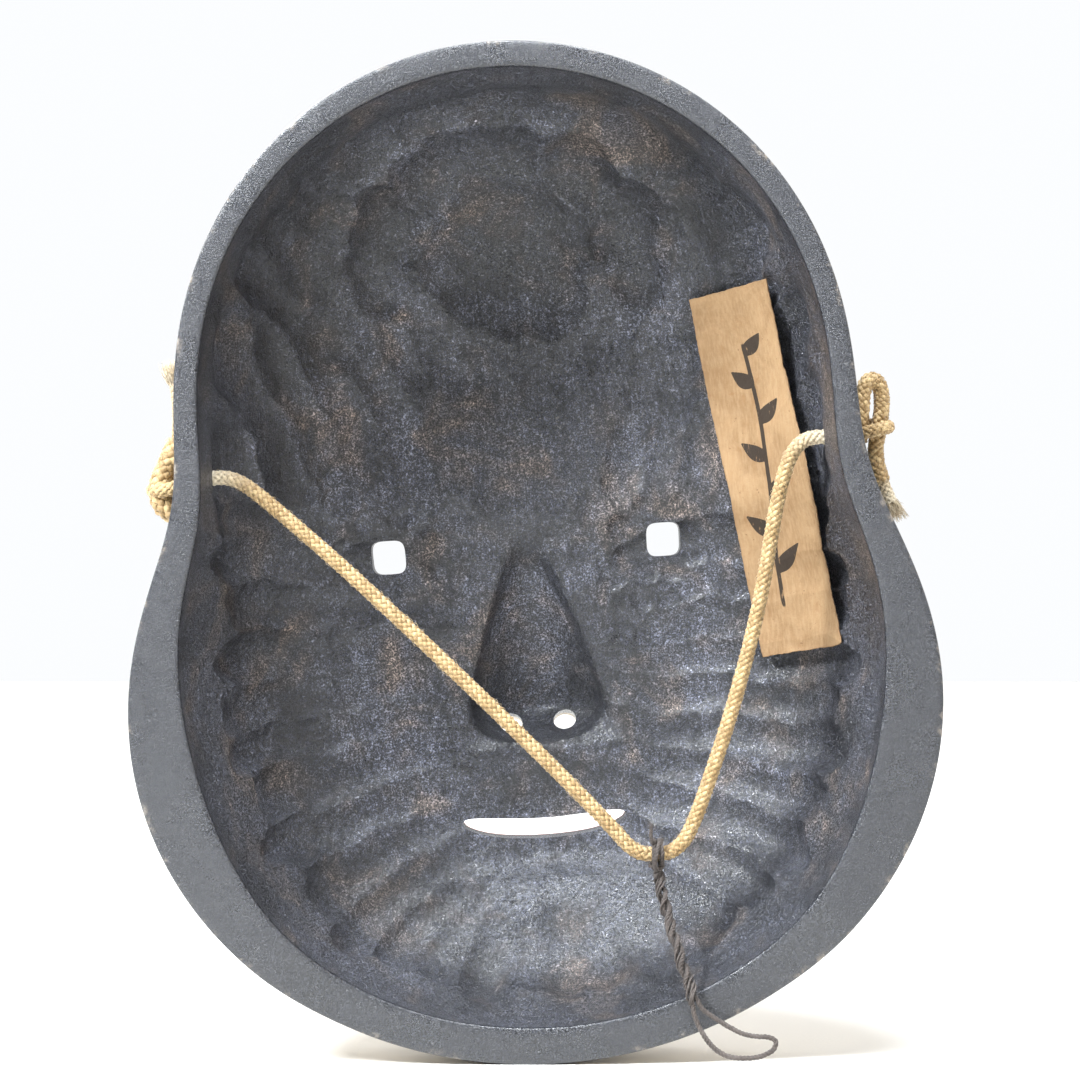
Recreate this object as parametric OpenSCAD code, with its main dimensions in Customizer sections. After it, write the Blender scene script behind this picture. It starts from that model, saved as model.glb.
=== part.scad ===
// Carved theatre mask: a hollowed wooden shell, a paper slip pasted inside it, a braided cord
// knotted through two side holes, and a twisted twine that hangs from the cord.
// +Z runs up to the crown, +Y runs forward to the nose, and the back rim lies in the plane Y = 0.

/* [Shell] */
// Height of the mask, crown to chin
mask_h = 208; // [206:1:210]
// Width across the cheeks
cheek_w = 165; // [163:1:167]
// Depth of the domed front, without the nose
dome_d = 56; // [54:1:60]
// Thickness of the wood at the middle of the dome
wood_t = 9; // [8:0.5:11]
// How far the chin's rim stands forward of the rim plane
chin_dip = 3; // [2.5:0.1:4]

/* [Face] */
// How far the nose stands out of the dome
nose_h = 17; // [14:0.5:18]
// Side of each square eye hole
eye_hole = 7.4; // [6:0.2:9]
// Radius of each nostril
nostril_r = 2.5; // [2:0.1:3]
// Length of the mouth slit
mouth_w = 36; // [30:1:40]
// Height of the mouth slit at its middle
mouth_h = 4.2; // [4:0.1:6]

/* [Cord] */
// Diameter of the braided cord
cord_d = 3.2; // [2.8:0.1:3.4]
// Radius of the two holes for the cord
cord_hole_r = 1.9; // [1.8:0.05:2.2]
// Thickness of a tied knot
knot_w = 8.4; // [8:0.1:9]

/* [Twine] */
// Diameter of one strand of the hanging twine
twine_d = 1.1; // [1:0.1:1.2]

/* [Label] */
// Width of the paper slip
label_w = 16; // [14:0.5:17]
// Length of the paper slip
label_l = 79; // [72:1:81]
// Thickness of the paper slip
label_t = 0.4; // [0.3:0.05:0.5]

/* [Hidden] */

// Grid of the shell's surfaces: steps round the outline, and rings from the middle to the rim.
around = 72;
front_rings = 30;
back_rings = 20;

// Outline, as a crown circle blended with a cheek ellipse.
crown_rad = 68;
crown_z = mask_h / 2 - crown_rad;
cheek_half_h = 72;
cheek_z = cheek_half_h - mask_h / 2;
blend = 7;

// Face, divided into thirds from the hairline to the chin.
hairline_z = 0.375 * mask_h;
chin_z = -0.48 * mask_h;
third = (hairline_z - chin_z) / 3;
brow_z = hairline_z - third;
nose_base_z = brow_z - third;
mouth_z = nose_base_z - third / 3;
eye_z = brow_z - 0.3 * third;
eye_w = 2 * outline_r(90) / 5;
eye_x = eye_w;
nose_root_z = eye_z + 9;
nose_tip_z = nose_base_z + 7;
nostril_x = 6;
nostril_z = nose_base_z + 1.6;
nostril_tilt = 14;

// Cord holes, bored straight across the temples.
hole_y = 15;
hole_z = 20;
temple_x = half_width(hole_z, 66, 8) - 1.8;
knot_x = temple_x + knot_w / 2 + 0.5;
knot_face_x = knot_x - knot_w / 2 - 0.2;

// The cord hangs as a slanting V below the holes, with a short level stretch for the twine.
hitch_x = 23;
hitch_z = -64;
cord_route = [
    [-knot_face_x, hole_y, 20], [-65.8, hole_y, 20], [-63.4, hole_y, 20], [-61, hole_y, 19.9],
    [-58.4, hole_y, 18.9], [-55.4, hole_y, 16.7], [-50.4, hole_y, 12], [-44, hole_y, 5.7],
    [-37, hole_y, -1.4], [-30, hole_y, -8.8], [-23, hole_y, -16.3], [-16, hole_y, -23.9],
    [-9, hole_y, -31.6], [-2, hole_y, -39.4], [4, hole_y, -46.2], [9, hole_y, -52],
    [12.4, hole_y, -56], [15, hole_y, -59.2], [17.4, hole_y, -62.1], [20, hole_y, -63.8],
    [23, hole_y, -64], [26, hole_y, -63.8], [28.9, hole_y, -61.6], [31.2, hole_y, -57.8],
    [33.4, hole_y, -53], [36.2, hole_y, -46.4], [39.2, hole_y, -39], [42.1, hole_y, -31.2],
    [44.9, hole_y, -23], [47.4, hole_y, -14.8], [49.6, hole_y, -6.6], [51.4, hole_y, 1],
    [53, hole_y, 7.4], [54.8, hole_y, 13], [56.6, hole_y, 16.8], [58.8, hole_y, 19.2],
    [61.2, hole_y, 20], [63.8, hole_y, 20], [66.2, hole_y, 20], [knot_face_x, hole_y, 20],
];

// Each tail leaves its knot and lies along the outside of the temple.
tail_left_route = [
    [1 - knot_x, 17, 26.8], [1.5 - knot_x, 17.6, 30], [1.9 - knot_x, 18, 33.6],
    [2.1 - knot_x, 18.2, 37.4], [2 - knot_x, 18.2, 41.2],
];
tail_right_route = [
    [knot_x + 2.2, 17, 8.2], [knot_x + 3.3, 17.6, 5.2], [knot_x + 4.7, 18, 2.2],
    [knot_x + 6.4, 18.2, -0.8],
];

// The twine hangs from its hitch, crosses the chin's rim and ends in an open loop.
twist_route = [
    [23, hole_y, -67.3], [23.3, 14.2, -70.4], [24, 12.3, -74.4], [24.8, 9.4, -78.6], [25.7, 6.3, -82.6],
    [26.6, 3.6, -86.6], [27.4, 1.7, -90.2], [28.2, 1.1, -93.2],
];
loop_route = [
    [27.6, 1.1, -93.5], [28, 0.9, -96], [29.2, 0.6, -99.2], [31.2, 0, -102.2], [33.8, -0.6, -104],
    [37, -1.1, -104.6], [40.4, -1.5, -104.4], [43, -1.7, -103.3], [43.8, -1.7, -101.7],
    [42.6, -1.4, -100.7], [40, -0.9, -100.4], [37.4, -0.4, -99.8], [34.8, 0.2, -98.4],
    [32.2, 0.7, -96.6], [30, 1, -94.9], [28.9, 1.1, -93.3],
];

// ---------- Outline and rim ----------

// Radius of the outline at an angle from the crown, 0 at the top and 180 at the chin.
function crown_r(angle) = crown_z * cos(angle) + sqrt(crown_rad ^ 2 - (crown_z * sin(angle)) ^ 2);
function cheek_r(angle) =
    let (a = (sin(angle) * 2 / cheek_w) ^ 2 + (cos(angle) / cheek_half_h) ^ 2,
         b = -2 * cos(angle) * cheek_z / cheek_half_h ^ 2,
         c = (cheek_z / cheek_half_h) ^ 2 - 1)
    (sqrt(b * b - 4 * a * c) - b) / (2 * a);
function outline_r(angle) = (crown_r(angle) ^ blend + cheek_r(angle) ^ blend) ^ (1 / blend);

// Half the width of the outline at a height, found by repeated closer guesses.
function half_width(z, guess, tries) =
    tries == 0 ? guess : half_width(z, sqrt(outline_r(atan2(guess, z)) ^ 2 - z * z), tries - 1);

// Angle from the crown on either side, 0 to 180.
function side_angle(angle) = angle > 180 ? 360 - angle : angle;
function ease(low, high, v) = let (t = min(1, max(0, (v - low) / (high - low)))) t * t * (3 - 2 * t);

// Width of the flat rim: narrow at the crown, broad at the cheeks.
function rim_w(angle) =
    let (s = side_angle(angle))
    5.2 + 7.4 * exp(-((s - 120) / 26) ^ 2) + 2.2 * ease(90, 180, s);
function rim_y(angle) = chin_dip * ease(142, 157, side_angle(angle));

// ---------- Relief of the face ----------

function bump(x, z, at_x, at_z, w_x, w_z) = exp(-((x - at_x) / w_x) ^ 2 - ((z - at_z) / w_z) ^ 2);

function nose_rise(z) = z > nose_root_z ? 0
    : z > nose_tip_z ? ((nose_root_z - z) / (nose_root_z - nose_tip_z)) ^ 1.25
    : 1 - ease(0, 10, nose_tip_z - z);
function nose_half_w(z) = 7.5 + 5.5 * (1 - ease(nose_tip_z - 3, nose_root_z, z));
function nose(x, z, slimmer) = nose_rise(z) * exp(-(abs(x) / (nose_half_w(z) - slimmer)) ^ 2.4);

// Soft forms of the face, without the nose. They are even about X = 0, so x is taken without its sign.
function soft_relief(x, z) =
    3 * bump(x, z, 0, 46, 46, 30)
    - 4.5 * bump(x, z, eye_x - 2, eye_z + 6, 17, 10)
    + 4 * bump(x, z, eye_x, eye_z - 1, 13, 7)
    + 4.5 * bump(x, z, 42, -30, 24, 24)
    + 4 * bump(x, z, 11.5, nose_base_z + 5.5, 4.5, 5.5)
    + 4 * bump(x, z, 0, mouth_z, 24, 15)
    + 1.8 * bump(x, z, 0, mouth_z + 4.6, 14, 3.4)
    + 2.2 * bump(x, z, 0, mouth_z - 5.4, 12, 3.8)
    - 2 * bump(x, z, 0, mouth_z - 14, 14, 5)
    + 4.5 * bump(x, z, 0, chin_z + 11, 20, 11);

// Angle from the crown of a place in the mask, the same on both sides.
function angle_of(x, z) = side_angle((atan2(x, z) + 360) % 360);
// Height of the front and of the hollow, where reach goes from 0 at the middle to 1 at the outline.
function front_y(x, z) =
    let (reach = min(1, norm([x, z]) / outline_r(angle_of(x, z))),
         dome = (1 - reach ^ 2.4) ^ (1 / 2.1),
         relief = soft_relief(abs(x), z) + nose_h * nose(x, z, 0))
    dome_d * dome + relief * (1 - reach ^ 6) + rim_y(angle_of(x, z)) * reach ^ 6;
function hollow_y(x, z) =
    let (angle = angle_of(x, z),
         reach = min(1, norm([x, z]) / (outline_r(angle) - rim_w(angle))),
         bowl = (1 - reach ^ 2.9) ^ (1 / 2),
         relief = 0.6 * soft_relief(abs(x), z) + 0.82 * nose_h * nose(x, z, 2.2))
    (dome_d - wood_t) * bowl + relief * (1 - reach ^ 6) + rim_y(angle) * reach ^ 6;

// ---------- Closed meshes ----------

// Rings run out from the nose, and lie closer together there and towards the rim.
function ring_reach(i, rings) = sin(90 * (i / rings) ^ 0.92) ^ 1.15;
function angle_at(j) = 360 * j / around;
function ring_point(angle, edge, reach) =
    let (end = edge * [sin(angle), cos(angle)], middle = [0, nose_tip_z + 6]) middle + reach * (end - middle);
function front_point(angle, reach) =
    let (p = ring_point(angle, outline_r(side_angle(angle)), reach))
    [p[0], reach == 1 ? rim_y(angle) : front_y(p[0], p[1]), p[1]];
function hollow_point(angle, reach) =
    let (p = ring_point(angle, outline_r(side_angle(angle)) - rim_w(angle), reach))
    [p[0], reach == 1 ? rim_y(angle) : hollow_y(p[0], p[1]), p[1]];
function front_grid() = [
    front_point(0, 0),
    for (i = [1:front_rings], j = [0:around - 1]) front_point(angle_at(j), ring_reach(i, front_rings))
];
function hollow_grid() = [
    hollow_point(0, 0),
    for (i = [1:back_rings], j = [0:around - 1]) hollow_point(angle_at(j), ring_reach(i, back_rings))
];

// Triangles of a grid of rings round a middle point, seen clockwise from -Y, or from +Y if turned.
function turn(f, turned) = turned ? [f[0], f[2], f[1]] : f;
function grid_faces(rings, first, turned) = [
    for (j = [0:around - 1]) turn([first, first + 1 + j, first + 1 + (j + 1) % around], turned),
    for (i = [0:rings - 2], j = [0:around - 1])
        let (a = first + 1 + i * around + j, b = first + 1 + i * around + (j + 1) % around)
        each [turn([a, a + around, b + around], turned), turn([a, b + around, b], turned)]
];

// The band that joins the outer rings of two grids.
function band_faces(outer, inner) = [
    for (j = [0:around - 1])
        let (k = (j + 1) % around)
        each [[outer + j, inner + k, inner + j], [outer + j, outer + k, inner + k]]
];

// A solid between two grids: a front one that faces +Y, and a back one that faces -Y.
module between(front, back, rings_front, rings_back) {
    start = len(front);
    polyhedron(
        points = concat(front, back),
        faces = concat(
            grid_faces(rings_front, 0, true),
            grid_faces(rings_back, start, false),
            band_faces(start - around, start + len(back) - around)));
}

// ---------- Tubes ----------

function unit(v) = v / norm(v);
function ring_at(route, i, r, sides) =
    let (last = len(route) - 1,
         along = unit(route[min(i + 1, last)] - route[max(i - 1, 0)]),
         across = unit(cross(along, [0, 1, 0])),
         up = cross(across, along))
    [for (k = [0:sides - 1]) route[i] + r * (cos(360 * k / sides) * up + sin(360 * k / sides) * across)];

module tube(route, r, sides = 8) {
    n = len(route);
    polyhedron(
        points = [for (i = [0:n - 1]) each ring_at(route, i, r, sides)],
        faces = concat(
            [[for (k = [0:sides - 1]) k]],
            [for (i = [0:n - 2], k = [0:sides - 1])
                let (a = i * sides + k, b = i * sides + (k + 1) % sides)
                each [[a, b + sides, b], [a, a + sides, b + sides]]],
            [[for (k = [0:sides - 1]) n * sides - 1 - k]]));
}

// ---------- Openings in the face ----------

// A square with well rounded corners.
function squarish(half, power = 4, steps = 24) = [
    for (k = [0:steps - 1])
        let (a = 360 * k / steps)
        [for (v = [cos(a), sin(a)]) half * sign(v) * abs(v) ^ (2 / power)]
];

// A slit with rounded ends whose middle line rises gently to both corners.
mouth_rise = 2.2;
function mouth_line(t) = [mouth_w / 2 * t, mouth_rise * t * t];
function mouth_outline(steps = 16) = [
    for (k = [0:steps]) let (t = 2 * k / steps - 1) mouth_line(t) - [0, mouth_h / 2 * sqrt(1 - t ^ 4) + 0.01],
    for (k = [0:steps]) let (t = 1 - 2 * k / steps) mouth_line(t) + [0, mouth_h / 2 * sqrt(1 - t ^ 4) + 0.01],
];

module through_front(x, z) translate([x, 90, z]) rotate([90, 0, 0]) linear_extrude(80) children();

module face_openings() {
    for (side = [-1, 1]) {
        through_front(side * eye_x, eye_z) polygon(squarish(eye_hole / 2));
        translate([side * nostril_x, dome_d + 6, nostril_z])
            rotate([90 - nostril_tilt, 0, 0]) cylinder(r = nostril_r, h = 60, center = true, $fn = 32);
    }
    through_front(0, mouth_z) polygon(mouth_outline());
}

module cord_bores() {
    for (side = [-1, 1])
        translate([side * 64, hole_y, hole_z]) rotate([0, 90, 0])
            cylinder(r = cord_hole_r, h = 18, center = true, $fn = 48);
}

// ---------- Pieces ----------

module mask_shell() color([0.11, 0.11, 0.13])
    difference() {
        between(front_grid(), hollow_grid(), front_rings, back_rings);
        face_openings();
        cord_bores();
    }

// The slip lies on the side of the hollow and follows its curve.
label_at = [52.4, 14.2];
label_lean = 8;
label_cols = 4;
label_rows = 14;
label_clear = 0.6;
function label_place(u, v) =
    let (a = u * label_w, b = v * label_l)
    [label_at[0] + a * cos(label_lean) - b * sin(label_lean),
     label_at[1] + a * sin(label_lean) + b * cos(label_lean)];
// A point above the hollow, lifted square to its surface.
function label_point(i, j, lift) =
    let (p = label_place(i / label_cols - 0.5, j / label_rows - 0.5), x = p[0], z = p[1], d = 0.5,
         y = hollow_y(x, z), slope_x = (hollow_y(x + d, z) - y) / d, slope_z = (hollow_y(x, z + d) - y) / d,
         out = unit([slope_x, -1, slope_z]))
    [x, y, z] + lift * out;

module paper_label() color([0.78, 0.62, 0.42]) {
    step = label_cols + 1;
    layer = step * (label_rows + 1);
    polyhedron(
        points = [for (lift = [label_clear, label_clear + label_t], j = [0:label_rows], i = [0:label_cols])
            label_point(i, j, lift)],
        faces = concat(
            [for (j = [0:label_rows - 1], i = [0:label_cols - 1])
                let (a = j * step + i)
                each [[a, a + 1, a + step + 1], [a, a + step + 1, a + step],
                      [layer + a, layer + a + step + 1, layer + a + 1],
                      [layer + a, layer + a + step, layer + a + step + 1]]],
            [for (i = [0:label_cols - 1], end = [0, label_rows])
                let (a = end * step + i, f = [a, a + layer, a + 1 + layer, a + 1])
                each [tri(f, 0, end > 0), tri(f, 1, end > 0)]],
            [for (j = [0:label_rows - 1], end = [0, label_cols])
                let (a = j * step + end, f = [a, a + layer, a + step + layer, a + step])
                each [tri(f, 0, end == 0), tri(f, 1, end == 0)]]));
}
// Half of a four-cornered face, with its winding turned over if asked.
function tri(f, half, turned) =
    let (t = half == 0 ? [f[0], f[1], f[2]] : [f[0], f[2], f[3]]) turn(t, turned);

module cord_loop() color([0.80, 0.66, 0.40]) tube(cord_route, cord_d / 2);

// A tied knot, as a plain solid with round ends between two places.
module knot(from, to, r) {
    axis = to - from;
    translate(from) rotate([0, acos(axis[2] / norm(axis)), atan2(axis[1], axis[0])]) {
        cylinder(r = r, h = norm(axis), $fn = 48);
        sphere(r = r, $fn = 48);
        translate([0, 0, norm(axis)]) sphere(r = r, $fn = 48);
    }
}

module cord_knot_left() color([0.80, 0.66, 0.40])
    knot([-knot_x, 15.5, 16.8], [-knot_x, 15.5, 22], knot_w / 2);
module cord_knot_right() color([0.80, 0.66, 0.40])
    knot([knot_x + 1, 15.5, 13], [knot_x, 15.5, 25.4], knot_w / 2);
module cord_tail_left() color([0.82, 0.68, 0.42]) tube(tail_left_route, cord_d / 2);
module cord_tail_right() color([0.82, 0.68, 0.42]) tube(tail_right_route, cord_d / 2);

// The hitch wraps the cord's level stretch with running clearance.
hitch_bore_r = cord_d / 2 + 0.35;
hitch_r = hitch_bore_r + twine_d;
hitch_l = 4.4;
module twine_hitch() color([0.13, 0.10, 0.09])
    translate([hitch_x, hole_y, hitch_z]) rotate([0, 90, 0]) difference() {
        cylinder(r = hitch_r, h = hitch_l, center = true, $fn = 64);
        cylinder(r = hitch_bore_r, h = hitch_l + 2, center = true, $fn = 64);
    }

module twine_twist() color([0.13, 0.10, 0.09]) tube(twist_route, twine_d);
module twine_loop() color([0.16, 0.13, 0.12]) tube(loop_route, twine_d / 2);

mask_shell();
paper_label();
cord_loop();
cord_knot_left();
cord_knot_right();
cord_tail_left();
cord_tail_right();
twine_hitch();
twine_twist();
twine_loop();
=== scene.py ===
"""Looks of a carved theatre mask seen from its hollow back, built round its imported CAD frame.

Shapes are worked out in millimetres in the row frame, and become metres when a mesh is made.
+Z is the crown, +Y the nose, and the flat back rim lies in the plane Y = 0.
"""

import math

import bpy
import numpy as np
from mathutils import Matrix, Vector
from numpy.linalg import norm


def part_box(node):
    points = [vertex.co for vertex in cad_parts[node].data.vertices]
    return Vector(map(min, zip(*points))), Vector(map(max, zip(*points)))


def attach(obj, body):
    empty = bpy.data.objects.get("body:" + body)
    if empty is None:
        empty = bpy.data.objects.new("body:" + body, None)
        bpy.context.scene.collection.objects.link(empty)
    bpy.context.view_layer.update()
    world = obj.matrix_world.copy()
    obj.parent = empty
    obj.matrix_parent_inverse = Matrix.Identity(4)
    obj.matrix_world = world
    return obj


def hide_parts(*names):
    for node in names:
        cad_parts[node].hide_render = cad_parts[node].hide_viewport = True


MM = 0.001
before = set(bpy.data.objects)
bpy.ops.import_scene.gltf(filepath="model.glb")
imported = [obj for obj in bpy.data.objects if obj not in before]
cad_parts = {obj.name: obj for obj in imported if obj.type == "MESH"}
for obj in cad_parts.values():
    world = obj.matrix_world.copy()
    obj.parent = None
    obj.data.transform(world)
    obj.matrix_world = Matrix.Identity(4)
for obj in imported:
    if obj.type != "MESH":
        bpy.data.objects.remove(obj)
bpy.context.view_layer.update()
rng = np.random.RandomState(7)

# ---- sizes, as in the CAD source

shell_lo, shell_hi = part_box("mask_shell")
MASK_H = (shell_hi.z - shell_lo.z) / MM
CHEEK_W = 165.0
DOME_D = 56.0
WOOD_T = 9.0
CHIN_DIP = 3.0
NOSE_H = 17.0
EYE_HOLE = 7.4
NOSTRIL_R = 2.5
MOUTH_W = 36.0
MOUTH_H = 4.2
MOUTH_RISE = 2.2
CORD_D = 3.2
CORD_HOLE_R = 1.9
TWINE_D = 1.1
CROWN_RAD = 68.0
CROWN_Z = MASK_H / 2 - CROWN_RAD
CHEEK_HALF_H = 72.0
CHEEK_Z = CHEEK_HALF_H - MASK_H / 2
BLEND = 7
HAIRLINE_Z = 0.375 * MASK_H
CHIN_Z = -0.48 * MASK_H
THIRD = (HAIRLINE_Z - CHIN_Z) / 3
BROW_Z = HAIRLINE_Z - THIRD
NOSE_BASE_Z = BROW_Z - THIRD
MOUTH_Z = NOSE_BASE_Z - THIRD / 3
EYE_Z = BROW_Z - 0.3 * THIRD
NOSE_ROOT_Z = EYE_Z + 9
NOSE_TIP_Z = NOSE_BASE_Z + 7
NOSTRIL_X = 6.0
NOSTRIL_Z = NOSE_BASE_Z + 1.6
NOSTRIL_TILT = 14.0
HOLE_Y, HOLE_Z = 15.0, 20.0


def ease(low, high, v):
    t = np.clip((v - low) / (high - low), 0, 1)
    return t * t * (3 - 2 * t)


def hump(v, at, width):
    """1 where v is at its middle, and falling off to either side."""
    return np.exp(-((v - at) / width) ** 2)


def unit(v):
    """Vectors along the last axis, at length 1."""
    return v / (norm(v, axis=-1, keepdims=True) + 1e-12)


def sideways(way):
    """A random direction square to way."""
    side = rng.normal(size=3)
    return unit(side - way * (side @ way))


def outline_r(angle):
    """Radius of the outline, in mm, at an angle in degrees from the crown."""
    a = np.radians(angle)
    crown = CROWN_Z * np.cos(a) + np.sqrt(CROWN_RAD ** 2 - (CROWN_Z * np.sin(a)) ** 2)
    qa = (np.sin(a) * 2 / CHEEK_W) ** 2 + (np.cos(a) / CHEEK_HALF_H) ** 2
    qb = -2 * np.cos(a) * CHEEK_Z / CHEEK_HALF_H ** 2
    qc = (CHEEK_Z / CHEEK_HALF_H) ** 2 - 1
    cheek = (np.sqrt(qb * qb - 4 * qa * qc) - qb) / (2 * qa)
    return (crown ** BLEND + cheek ** BLEND) ** (1 / BLEND)


def side_angle(x, z):
    return np.degrees(np.arctan2(np.abs(x), z))


def rim_w(angle):
    return 5.2 + 7.4 * hump(angle, 120, 26) + 2.2 * ease(90, 180, angle)


def rim_y(angle):
    return CHIN_DIP * ease(142, 157, angle)


def bump(x, z, at_x, at_z, w_x, w_z):
    return np.exp(-((x - at_x) / w_x) ** 2 - ((z - at_z) / w_z) ** 2)


EYE_X = 2 * float(outline_r(np.array(90.0))) / 5


def nose(x, z, slimmer):
    bridge = np.clip((NOSE_ROOT_Z - z) / (NOSE_ROOT_Z - NOSE_TIP_Z), 0, 1) ** 1.25
    rise = np.where(z > NOSE_TIP_Z, bridge, 1 - ease(0, 10, NOSE_TIP_Z - z))
    half_w = 7.5 + 5.5 * (1 - ease(NOSE_TIP_Z - 3, NOSE_ROOT_Z, z))
    return rise * np.exp(-(np.abs(x) / (half_w - slimmer)) ** 2.4)


def soft_relief(x, z):
    x = np.abs(x)
    swells = (
        (3, 0, 46, 46, 30),                         # forehead
        (-4.5, EYE_X - 2, EYE_Z + 6, 17, 10),       # eye socket
        (4, EYE_X, EYE_Z - 1, 13, 7),               # eyeball
        (4.5, 42, -30, 24, 24),                     # cheek
        (4, 11.5, NOSE_BASE_Z + 5.5, 4.5, 5.5),     # wing of the nose
        (4, 0, MOUTH_Z, 24, 15),
        (1.8, 0, MOUTH_Z + 4.6, 14, 3.4),           # upper lip
        (2.2, 0, MOUTH_Z - 5.4, 12, 3.8),           # lower lip
        (-2, 0, MOUTH_Z - 14, 14, 5),
        (4.5, 0, CHIN_Z + 11, 20, 11))              # chin
    return sum(height * bump(x, z, *place) for height, *place in swells)


def reach_front(x, z):
    return np.minimum(1, np.hypot(x, z) / outline_r(side_angle(x, z)))


def reach_hollow(x, z):
    a = side_angle(x, z)
    return np.minimum(1, np.hypot(x, z) / (outline_r(a) - rim_w(a)))


def front_y(x, z):
    r = reach_front(x, z)
    relief = soft_relief(x, z) + NOSE_H * nose(x, z, 0) + eyelids(x, z)
    return DOME_D * (1 - r ** 2.4) ** (1 / 2.1) + relief * (1 - r ** 6) + rim_y(side_angle(x, z)) * r ** 6


def hollow_y(x, z):
    r = reach_hollow(x, z)
    relief = 0.6 * soft_relief(x, z) + 0.82 * NOSE_H * nose(x, z, NOSE_SLIMMER)
    bowl = (DOME_D - WOOD_T) * np.sqrt(1 - r ** 2.9)
    return bowl + relief * (1 - r ** 6) + rim_y(side_angle(x, z)) * r ** 6


# ---- the painted face's features

EYE_HALF_L = 14.0
LIPS_HALF_W = 20.5


def eye_edges(x):
    """Heights of the upper and lower lid lines beside an eye's middle, and how far along the eye x is."""
    t = (np.abs(x) - EYE_X) / EYE_HALF_L
    full = np.clip(1 - t * t, 0, None)
    return EYE_Z + 5.4 * full ** 0.8 - 0.8 * t, EYE_Z - 4.4 * full ** 0.9 - 0.8 * t, t


def eyelids(x, z):
    """Relief of the lids: a fold above the upper lid line, and a thin lip along both."""
    up, low, t = eye_edges(x)
    near = np.exp(-(t / 1.05) ** 6)
    fold = 0.9 * hump(z - up, 1.2, 1.5) - 0.6 * hump(z - up, 4.2, 1.5)
    return near * (fold + 0.5 * hump(z - low, -1.0, 1.4))


def lip_field(x, z):
    """Under zero inside the lips, in mm."""
    t = np.clip(np.abs(x) / LIPS_HALF_W, 0, 1)
    mid = MOUTH_Z + MOUTH_RISE * (x / (MOUTH_W / 2)) ** 2
    upper = mid + 7.2 * (1 - t ** 2.2) - 1.3 * hump(x, 0, 3.2)
    lower = mid - 8.4 * (1 - t ** 2.6)
    return np.maximum(np.maximum(z - upper, lower - z), (np.abs(x) - LIPS_HALF_W) * 2)


def hair_field(x, z):
    """Under zero inside the painted hair, in mm: a cap with a middle parting, and a lock down each side."""
    a = np.abs(x)
    cap = (HAIRLINE_Z - 2 - 0.0062 * a ** 2 - 5 * hump(a, 0, 5)) - z
    lock_w = 13 * ease(-34, 40, z) ** 0.8
    edge = outline_r(side_angle(x, z)) - np.hypot(x, z)
    return np.minimum(cap, edge - lock_w)


def brow_field(x, z):
    """From 0 to 1 in the soft smudge of each brow."""
    a = np.abs(x)
    mid = BROW_Z + 4.5 - 0.012 * (a - EYE_X + 3) ** 2
    return np.exp(-((a - EYE_X + 1) / 13) ** 4 - ((z - mid) / 2.6) ** 2)


# ---- gouge marks in the hollow

def scoop(x, z, lean, half_l, half_w, depth, skew=0.0, round_end=2.0):
    """One cut: its middle, the way it runs in degrees, its half length and width, and its depth."""
    return (x, z, math.radians(lean), half_l, half_w, depth, skew, round_end)


# The cuts of each channel: how far in from the rim, half length, half width in pitches, depth and skew.
FAN_CUTS = (15, 14.5, 0.66, 2.7, 0.45), (34, 15, 0.60, 1.7, 0.3), (51, 12, 0.54, 1.0, 0.2)


def fan_marks():
    """Long channels that start in a round end by the rim and run in towards the nose and mouth."""
    marks = []
    for side in (-1, 1):
        angle = 74.0
        while angle < 177:
            far = float(outline_r(np.array(angle)) - rim_w(np.array(angle))) * 0.985
            pitch = 9.0 + 3.0 * rng.rand()
            mid = math.radians(angle + math.degrees(pitch / far) / 2)
            start = np.array([side * far * math.sin(mid), far * math.cos(mid)])
            way = start - np.array([side * 4, 0.62 * start[1] - 8])
            lean = math.degrees(math.atan2(way[1], way[0])) + (rng.rand() - 0.5) * 5
            way = unit(way)
            for back, half_l, wide, deep, skew in FAN_CUTS:
                back += 3 * rng.rand()
                if back > 45 and abs(start[0]) < 40:
                    continue
                across = np.array([-way[1], way[0]]) * (rng.rand() - 0.5) * 2.4
                marks.append(scoop(*(start - way * back + across), lean, half_l, pitch * wide,
                    deep * (0.85 + 0.3 * rng.rand()), skew, 4.0))
            angle += math.degrees(pitch / far)
    return marks


def brow_marks():
    """A round basin in the crown, two arches of cuts over it, and long strokes down each temple."""
    marks = [scoop(0, 66, 90, 19, 19, 3.0, 0.2, 2.4), scoop(9, 60, 104, 15, 8, 2.7, 0.3, 3.0)]
    for radius, count, sweep, half_w, deep in ((28, 7, 112, 8.2, 2.7), (42, 11, 120, 7.8, 2.3)):
        for k in range(count):
            a = math.radians(-sweep + 2 * sweep * (k + 0.35 + 0.3 * rng.rand()) / count)
            length = radius * math.radians(sweep) / count * 1.28
            marks.append(scoop(
                radius * math.sin(a), 60 + 0.84 * radius * math.cos(a), -math.degrees(a) * 1.05,
                length, half_w * (0.9 + 0.2 * rng.rand()), deep, 0.15, 3.0))
    for side in (-1, 1):
        for column, inset in enumerate((8, 18, 28, 37)):
            for z in (58, 34, 8):
                z += 5 * rng.rand() - 2 * column
                edge = float(np.interp(z, (0, 30, 60, 90), (66, 63, 56, 34)))
                slope = -math.degrees(math.atan2(float(np.interp(z, (0, 30, 60), (0.1, 0.5, 1.1))), 1.6))
                marks.append(scoop(side * (edge - inset + 2 * rng.rand()), z, 90 + side * slope,
                    21 + 4 * rng.rand(), 5.8, 2.4 - 0.35 * column, 0.25, 4.0))
    return marks


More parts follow.
